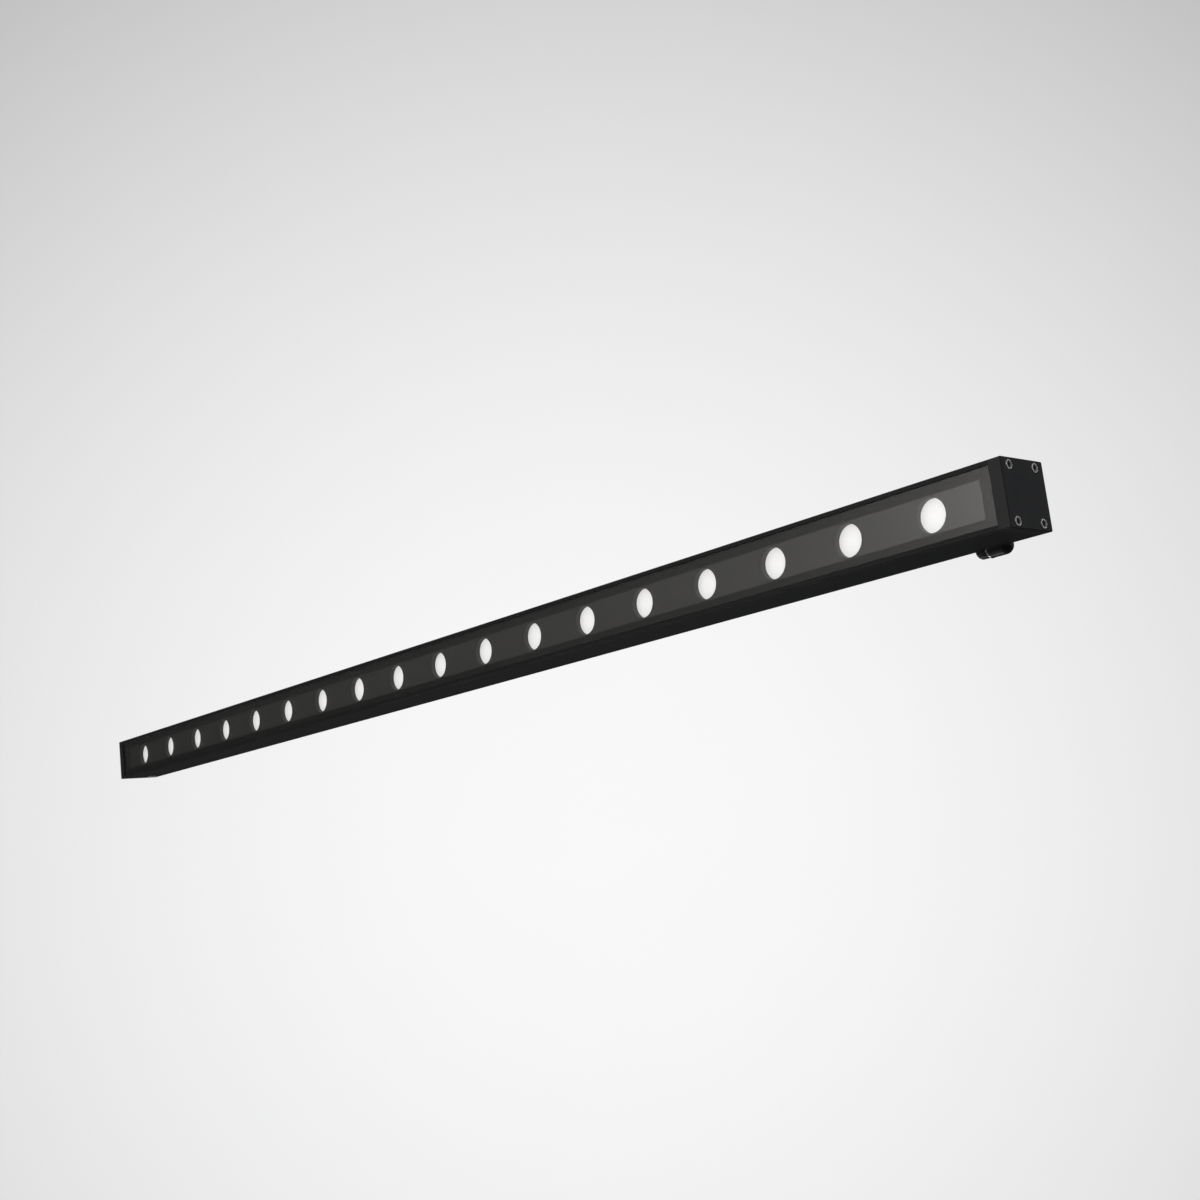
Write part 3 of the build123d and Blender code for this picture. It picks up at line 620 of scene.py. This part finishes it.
def lens_mesh():
    """The optic, turned about Z with its front at the top."""
    mesh = bmesh.new()
    top = LENS_HEIGHT
    rings = [[mesh.verts.new((0, 0, top - pillow_dip(0, 0)))]]
    front_radius = lens_radius - LENS_EDGE
    for ring in range(1, LENS_RINGS + 1):
        r = front_radius * ring / LENS_RINGS
        points = []
        for k in range(LENS_SIDES):
            a = 2 * math.pi * k / LENS_SIDES
            u, v = r * math.cos(a), r * math.sin(a)
            dip = pillow_dip(u, v) if ring < LENS_RINGS else 0.0
            points.append(mesh.verts.new((u, v, top - dip)))
        rings.append(points)
    outline = [
        (lens_radius, top - LENS_EDGE),
        (lens_radius, top - FLANGE),
        (CONE, top - FLANGE),
        (THROAT, 0),
        (POCKET, 0),
        (POCKET, POCKET_DEPTH),
    ]
    for radius, height in outline:
        rings.append(ring_of(mesh, plain(radius), height, LENS_SIDES))
    rings.append([mesh.verts.new((0, 0, POCKET_DEPTH))])
    join_all(mesh, rings)
    return finish_mesh(
        "spot_lens_01", mesh, (first_x, lens_front + LENS_HEIGHT, lens_z), "-Y"
    )


first_lens = lens_mesh()
print("lens points", len(first_lens.data.vertices))

# %% [markdown]
# A lit lens is brightest in the middle, over its chip, and falls off a little to its rim. The
# distance from the nearest lens axis is worked out from the position along the row, so one
# finish serves the whole row. The emission stays a little below white: more would burn the
# pillows away.

# %% Lit acrylic
CORE_FROM, CORE_TO = 0.0015, 0.0085  # distances from the axis over which the glow falls

acrylic = Finish("lens_acrylic")
x, y, z = acrylic.axes()
from_left = (x - first_x) / pitch + 0.5
across = (acrylic.node("Math", {"operation": "FRACT"}, {0: from_left}) - 0.5) * pitch
height = z - lens_z
from_axis = (across * across + height * height) ** 0.5
core = 1 - from_axis.step(CORE_FROM, CORE_TO)
speck = acrylic.noise((1500, 1500, 1500), detail=2)
warm = acrylic.blend(core, (0.81, 0.805, 0.80), (0.97, 0.965, 0.958))
acrylic.surface(
    Base_Color=acrylic.blend(speck, (0.50, 0.50, 0.50), (0.58, 0.58, 0.58)),
    Roughness=speck * 0.1 + 0.22,
    Emission_Color=warm,
    Emission_Strength=0.895,
)
wear(first_lens, acrylic.material)

spots = [first_lens]
for number in range(1, len(lens_names)):
    twin = bpy.data.objects.new(f"spot_lens_{number + 1:02d}", first_lens.data.copy())
    bpy.context.scene.collection.objects.link(twin)
    twin.data.transform(Matrix.Translation((pitch * number, 0, 0)))
    spots.append(twin)
for spot, name in zip(spots, lens_names):
    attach(spot, "batten")
    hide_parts(name)
print("lenses", len(spots), "from", round(first_x, 4), "to", round(last_x, 4))

# %% [markdown]
# Socket-head screws hold the caps. On the real screw the head's side is knurled, its top edge
# is turned round, and the hexagon has a small lead-in and a drilled bottom. All of that is
# modelled, with a real thread pitch on the shank as rings, because the four heads are the
# only bright metal on the batten and the eye goes straight to them.

# %% Socket screws
HEAD_RADIUS = 2.7 * MM
HEAD_HEIGHT = 3.0 * MM
SHANK_RADIUS = 1.5 * MM
SCREW_LENGTH = 16.0 * MM
THREAD_PITCH = 0.5 * MM
HEX_RADIUS = 2.5 / math.sqrt(3) * MM
HEX_DEPTH = 1.8 * MM
HEAD_EDGE = 0.4 * MM
SOCKET_MOUTH = 1.70 * MM
DRILL_RADIUS = 0.95 * MM
DRILL_DEPTH = 0.4 * MM
KNURLS = 30
KNURL_DEPTH = 0.07 * MM
TIP_SHARE, ROOT_SHARE = 0.75, 0.86  # of the shank's radius, at the tip and between threads
SCREW_RINGS = 52000  # turning marks, in radians for each metre from the axis


def hexagon(radius, grow=1.0):
    """The radius of a hexagon at an angle, for ring_of."""
    inner = radius * math.cos(math.pi / 6) * grow
    return lambda a: inner / math.cos((a % (math.pi / 3)) - math.pi / 6)


def fluted(radius, depth, count):
    """A radius that dips count times round the ring, for ring_of."""
    return lambda a: radius - depth * (0.5 - 0.5 * math.cos(count * a)) ** 0.6


def socket_screw(name, centre, axis):
    """One screw: shank with thread rings, knurled head, hexagon socket. Z is the head's top."""
    mesh = bmesh.new()
    knurl = fluted(HEAD_RADIUS, KNURL_DEPTH, KNURLS)
    head_low = -HEAD_HEIGHT
    rings = [[mesh.verts.new((0, 0, head_low - SCREW_LENGTH))]]
    rings.append(ring_of(mesh, plain(SHANK_RADIUS * TIP_SHARE), head_low - SCREW_LENGTH))
    turns = int(SCREW_LENGTH / THREAD_PITCH) - 2
    for turn in range(turns):
        z = head_low - SCREW_LENGTH + THREAD_PITCH * (turn + 0.5)
        rings.append(ring_of(mesh, plain(SHANK_RADIUS), z))
        rings.append(ring_of(mesh, plain(SHANK_RADIUS * ROOT_SHARE), z + THREAD_PITCH / 2))
    rings.append(ring_of(mesh, plain(SHANK_RADIUS), head_low))
    rings.append(ring_of(mesh, plain(HEAD_RADIUS - 0.2 * MM), head_low))
    rings.append(ring_of(mesh, knurl, head_low + 0.15 * MM))
    rings.append(ring_of(mesh, knurl, -0.75 * MM))
    rings.append(ring_of(mesh, plain(HEAD_RADIUS - 0.02 * MM), -0.6 * MM))
    for step in range(1, 7):
        a = math.pi / 2 * step / 6
        r = HEAD_RADIUS - HEAD_EDGE * (1 - math.cos(a))
        rings.append(ring_of(mesh, plain(r), -HEAD_EDGE * (1 - math.sin(a))))
    rings.append(ring_of(mesh, plain(SOCKET_MOUTH), 0))
    rings.append(ring_of(mesh, hexagon(HEX_RADIUS, 1.06), -0.12 * MM))
    rings.append(ring_of(mesh, hexagon(HEX_RADIUS), -0.3 * MM))
    rings.append(ring_of(mesh, hexagon(HEX_RADIUS), -HEX_DEPTH))
    rings.append(ring_of(mesh, plain(DRILL_RADIUS), -HEX_DEPTH))
    rings.append([mesh.verts.new((0, 0, -HEX_DEPTH - DRILL_DEPTH))])
    join_all(mesh, rings)
    return finish_mesh(name, mesh, centre, axis)


def sharpen(piece, degrees=35):
    """Smooth shading, but crisp where faces meet at more than an angle."""
    bpy.context.view_layer.objects.active = piece
    piece.select_set(True)
    bpy.ops.object.shade_smooth_by_angle(angle=math.radians(degrees))
    piece.select_set(False)


steel = Finish("screw_steel")
sides_low, sides_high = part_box("end_screws_right")
SCREW_Y = (sides_high.y - sides_low.y) / 2 - HEAD_RADIUS
SCREW_Z = (sides_high.z - sides_low.z) / 2 - HEAD_RADIUS
_, y, z = steel.axes()
y_off = abs(y - middle.y) - SCREW_Y
z_off = abs(z - middle.z) - SCREW_Z
turned = ((y_off * y_off + z_off * z_off) ** 0.5 * SCREW_RINGS).wave()
scuff = steel.noise((1200, 1200, 1200), detail=3)
steel.surface(
    Base_Color=steel.blend(scuff.step(0.3, 0.8), (0.42, 0.41, 0.40), (0.62, 0.61, 0.60)),
    Metallic=1.0,
    Roughness=turned * 0.1 + scuff * 0.12 + 0.2,
    Normal=steel.bump(turned, 0.00001, 0.4),
)

screws = []
for end, axis, side in (("left", "-X", -1), ("right", "X", 1)):
    box_low, box_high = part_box(f"end_screws_{end}")
    face_x = box_high.x if side > 0 else box_low.x
    for number, (sy, sz) in enumerate(((-1, 1), (1, 1), (-1, -1), (1, -1)), start=1):
        place = (face_x, middle.y + sy * SCREW_Y, middle.z + sz * SCREW_Z)
        screw = socket_screw(f"cap_screw_{end}_{number}", place, axis)
        sharpen(screw)
        wear(screw, steel.material)
        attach(screw, "batten")
        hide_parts(f"end_screws_{end}")
        screws.append(screw)
wear(nodes["board_screws"], steel.material)
print("cap screws", len(screws))

# %% [markdown]
# The brackets are steel, powder coated black. Powder melts and flows as it cures, which
# leaves a shallow orange-peel skin a millimetre or so across with fine grit in it. The bolts
# are black oxide: thin, slightly brown where it is handled, with the turning rings showing.

# %% Bracket finishes
BOLT_RINGS = 30000  # turning marks, in radians for each metre from the axis

paint = Finish("bracket_paint")
peel = paint.noise((900, 900, 900), detail=2, rough=0.45)
fleck = paint.noise((6000, 6000, 6000), detail=1)
paint.surface(
    Base_Color=paint.blend(fleck, (0.012, 0.012, 0.012), (0.019, 0.019, 0.019)),
    Roughness=peel * 0.16 + 0.34,
    Normal=paint.bump(peel * 0.8 + fleck * 0.2, 0.00012, 0.5),
)

zinc = Finish("washer_steel")
brushed = zinc.noise((1500, 400, 4000), detail=3)
bloom = zinc.noise((300, 300, 300), detail=2)
zinc.surface(
    Base_Color=zinc.blend(bloom, (0.50, 0.50, 0.51), (0.66, 0.66, 0.65)),
    Metallic=1.0,
    Roughness=brushed * 0.18 + 0.24,
    Normal=zinc.bump(brushed, 0.00002, 0.5),
)

pivot_low, pivot_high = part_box("pivot_washer_right")
pivot_y = (pivot_low.y + pivot_high.y) / 2
pivot_z = (pivot_low.z + pivot_high.z) / 2


def black_oxide(name, ring_y, ring_z):
    """Black oxide with turning rings round an axis along X."""
    finish = Finish(name)
    _, y, z = finish.axes()
    y_off, z_off = y - ring_y, z - ring_z
    turned = ((y_off * y_off + z_off * z_off) ** 0.5 * BOLT_RINGS).wave()
    handled = finish.noise((500, 500, 500), detail=3)
    return finish.surface(
        Base_Color=finish.blend(handled, (0.010, 0.010, 0.011), (0.030, 0.027, 0.025)),
        Metallic=0.55,
        Roughness=turned * 0.08 + handled * 0.15 + 0.25,
        Normal=finish.bump(turned, 0.00002, 0.4),
    )


nylon = Finish("friction_nylon")
haze = nylon.noise((900, 900, 900), detail=2)
nylon.surface(
    Base_Color=nylon.blend(haze, (0.60, 0.59, 0.55), (0.70, 0.69, 0.65)),
    Roughness=haze * 0.1 + 0.4,
    Normal=nylon.bump(haze, 0.00005, 0.3),
)

oxide = black_oxide("black_steel", pivot_y, pivot_z)
for end in ("left", "right"):
    for kind in ("bracket_shoe", "wall_plate"):
        wear(nodes[f"{kind}_{end}"], paint.material)
    for kind in ("pivot_washer", "slot_nuts"):
        wear(nodes[f"{kind}_{end}"], zinc.material)
    for kind in ("pivot_bolt", "shoe_screws"):
        wear(nodes[f"{kind}_{end}"], oxide)
    wear(nodes[f"friction_washer_{end}"], nylon.material)

# %% [markdown]
# The cable gland is moulded nylon: an elbow against the rear face, a plated ring, and a union
# nut that squeezes the seal. Moulded nylon is satin and slightly mottled. The nut is the one
# part of it that a hand turns, so it is made again here with finger ribs, which the frame's
# plain one doesn't have.

# %% Gland nut
NUT_RIBS = 18
RIB_DEPTH = 0.16 * MM
NOSE_RADIUS = 2.8 * MM
CABLE_RADIUS = 1.8 * MM
MOUTH_EDGE = 0.25 * MM
NOSE_STEPS = 8
SIDES_PER_RIB = 8
nut_low, nut_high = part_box("gland_nut")
seat_low, seat_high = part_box("gland_seal")
nut_length = nut_high.x - nut_low.x
nut_radius = (nut_high.y - nut_low.y) / 2
seat_radius = (seat_high.y - seat_low.y) / 2
seat_reach = nut_high.x - seat_low.x


def union_nut():
    """The nut, turned about Z with its nose at the top."""
    mesh = bmesh.new()
    sides = NUT_RIBS * SIDES_PER_RIB
    ribs = fluted(nut_radius, RIB_DEPTH, NUT_RIBS)
    rings = [ring_of(mesh, plain(seat_radius), 0, sides)]
    rings.append(ring_of(mesh, plain(nut_radius - RIB_DEPTH - 0.05 * MM), 0, sides))
    rings.append(ring_of(mesh, ribs, 0.2 * MM, sides))
    rings.append(ring_of(mesh, ribs, nut_length - NOSE_RADIUS - 0.1 * MM, sides))
    for step in range(1, NOSE_STEPS + 1):
        a = math.pi / 2 * step / NOSE_STEPS
        dip = RIB_DEPTH * max(0.0, math.cos(a)) ** 2
        r = nut_radius - NOSE_RADIUS * (1 - math.cos(a))
        height = nut_length - NOSE_RADIUS * (1 - math.sin(a))
        rings.append(ring_of(mesh, fluted(r, dip, NUT_RIBS), height, sides))
    rings.append(ring_of(mesh, plain(CABLE_RADIUS + MOUTH_EDGE), nut_length, sides))
    rings.append(ring_of(mesh, plain(CABLE_RADIUS), nut_length - MOUTH_EDGE, sides))
    rings.append(ring_of(mesh, plain(CABLE_RADIUS), seat_reach, sides))
    rings.append(ring_of(mesh, plain(seat_radius), seat_reach, sides))
    join_all(mesh, rings)
    join_rings(mesh, rings[-1], rings[0])
    centre = (nut_high.x, (nut_low.y + nut_high.y) / 2, (nut_low.z + nut_high.z) / 2)
    return finish_mesh("union_nut", mesh, centre, "-X")


nylon_black = Finish("gland_black")
mottle = nylon_black.noise((420, 420, 420), detail=3)
skin = nylon_black.noise((3200, 3200, 3200), detail=2)
nylon_black.surface(
    Base_Color=nylon_black.blend(mottle, (0.010, 0.010, 0.010), (0.018, 0.018, 0.018)),
    Roughness=mottle * 0.14 + skin * 0.08 + 0.28,
    Normal=nylon_black.bump(skin * 0.6 + mottle * 0.4, 0.00006, 0.4),
)
nut = union_nut()
sharpen(nut)
wear(nut, nylon_black.material)
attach(nut, "batten")
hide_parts("gland_nut")
wear(nodes["gland_elbow"], nylon_black.material)
wear(nodes["gland_ring"], zinc.material)
wear(nodes["gland_lock_nut"], zinc.material)
print("union nut", len(nut.data.vertices), "points")

# %% [markdown]
# The electronics are closed in, and seen only when the batten is taken apart. They still get
# their own finishes: white resist on the light boards, green laminate on the driver, shrunk
# sleeves, enamelled copper, moulded resin. One table of colours, grain and gloss makes them
# all, since each is one tint of noise over another. The breather plug near the far end is
# outside, but it is plain pale nylon and shares the table.

# %% Inner finishes
INNER = {
    # finish: (colour, colour, grain per metre, roughness, metallic)
    "board_metal": ((0.70, 0.70, 0.69), (0.80, 0.80, 0.79), 400, 0.35, 0.0),
    "led_resin": ((0.85, 0.62, 0.12), (0.95, 0.76, 0.25), 3000, 0.25, 0.0),
    "connector_plastic": ((0.60, 0.59, 0.54), (0.70, 0.69, 0.64), 700, 0.45, 0.0),
    "pad_silicone": ((0.28, 0.29, 0.34), (0.36, 0.37, 0.42), 900, 0.7, 0.0),
    "board_laminate": ((0.015, 0.09, 0.035), (0.03, 0.14, 0.06), 1200, 0.35, 0.0),
    "capacitor_sleeve": ((0.015, 0.015, 0.03), (0.03, 0.03, 0.05), 300, 0.3, 0.0),
    "choke_winding": ((0.36, 0.13, 0.04), (0.55, 0.24, 0.09), 2500, 0.3, 0.8),
    "chip_epoxy": ((0.012, 0.012, 0.012), (0.025, 0.025, 0.025), 4000, 0.6, 0.0),
    "vent_plastic": ((0.46, 0.46, 0.46), (0.56, 0.56, 0.55), 2200, 0.45, 0.0),
    "wire_sleeve": ((0.34, 0.03, 0.02), (0.42, 0.05, 0.04), 800, 0.5, 0.0),
}
inner_materials = {}
for name, (dark, light, grain_scale, rough, metal) in INNER.items():
    inner = Finish(name)
    fine = inner.noise((grain_scale,) * 3, detail=3)
    broad = inner.noise((grain_scale / 12,) * 3, detail=2)
    inner_materials[name] = inner.surface(
        Base_Color=inner.blend(fine * 0.6 + broad * 0.4, dark, light),
        Metallic=metal,
        Roughness=fine * 0.12 + broad * 0.08 + (rough - 0.1),
        Normal=inner.bump(fine, 0.00004, 0.4),
    )
slots = {part["node"]: part["material_slot"] for part in frame["record"]["subparts"]}
dressed = [node for node in nodes if slots[node] in inner_materials]
for node in dressed:
    wear(nodes[node], inner_materials[slots[node]])
print("inner pieces dressed:", len(dressed))

# %% Check and finish
bare = sorted(
    name for name, node in nodes.items() if not node.hide_render and not any(
        slot.material and slot.material.use_nodes and slot.material.node_tree.nodes.get("Bump")
        or slot.material == glass.material
        for slot in node.material_slots
    )
)
print("nodes with no finish:", bare)
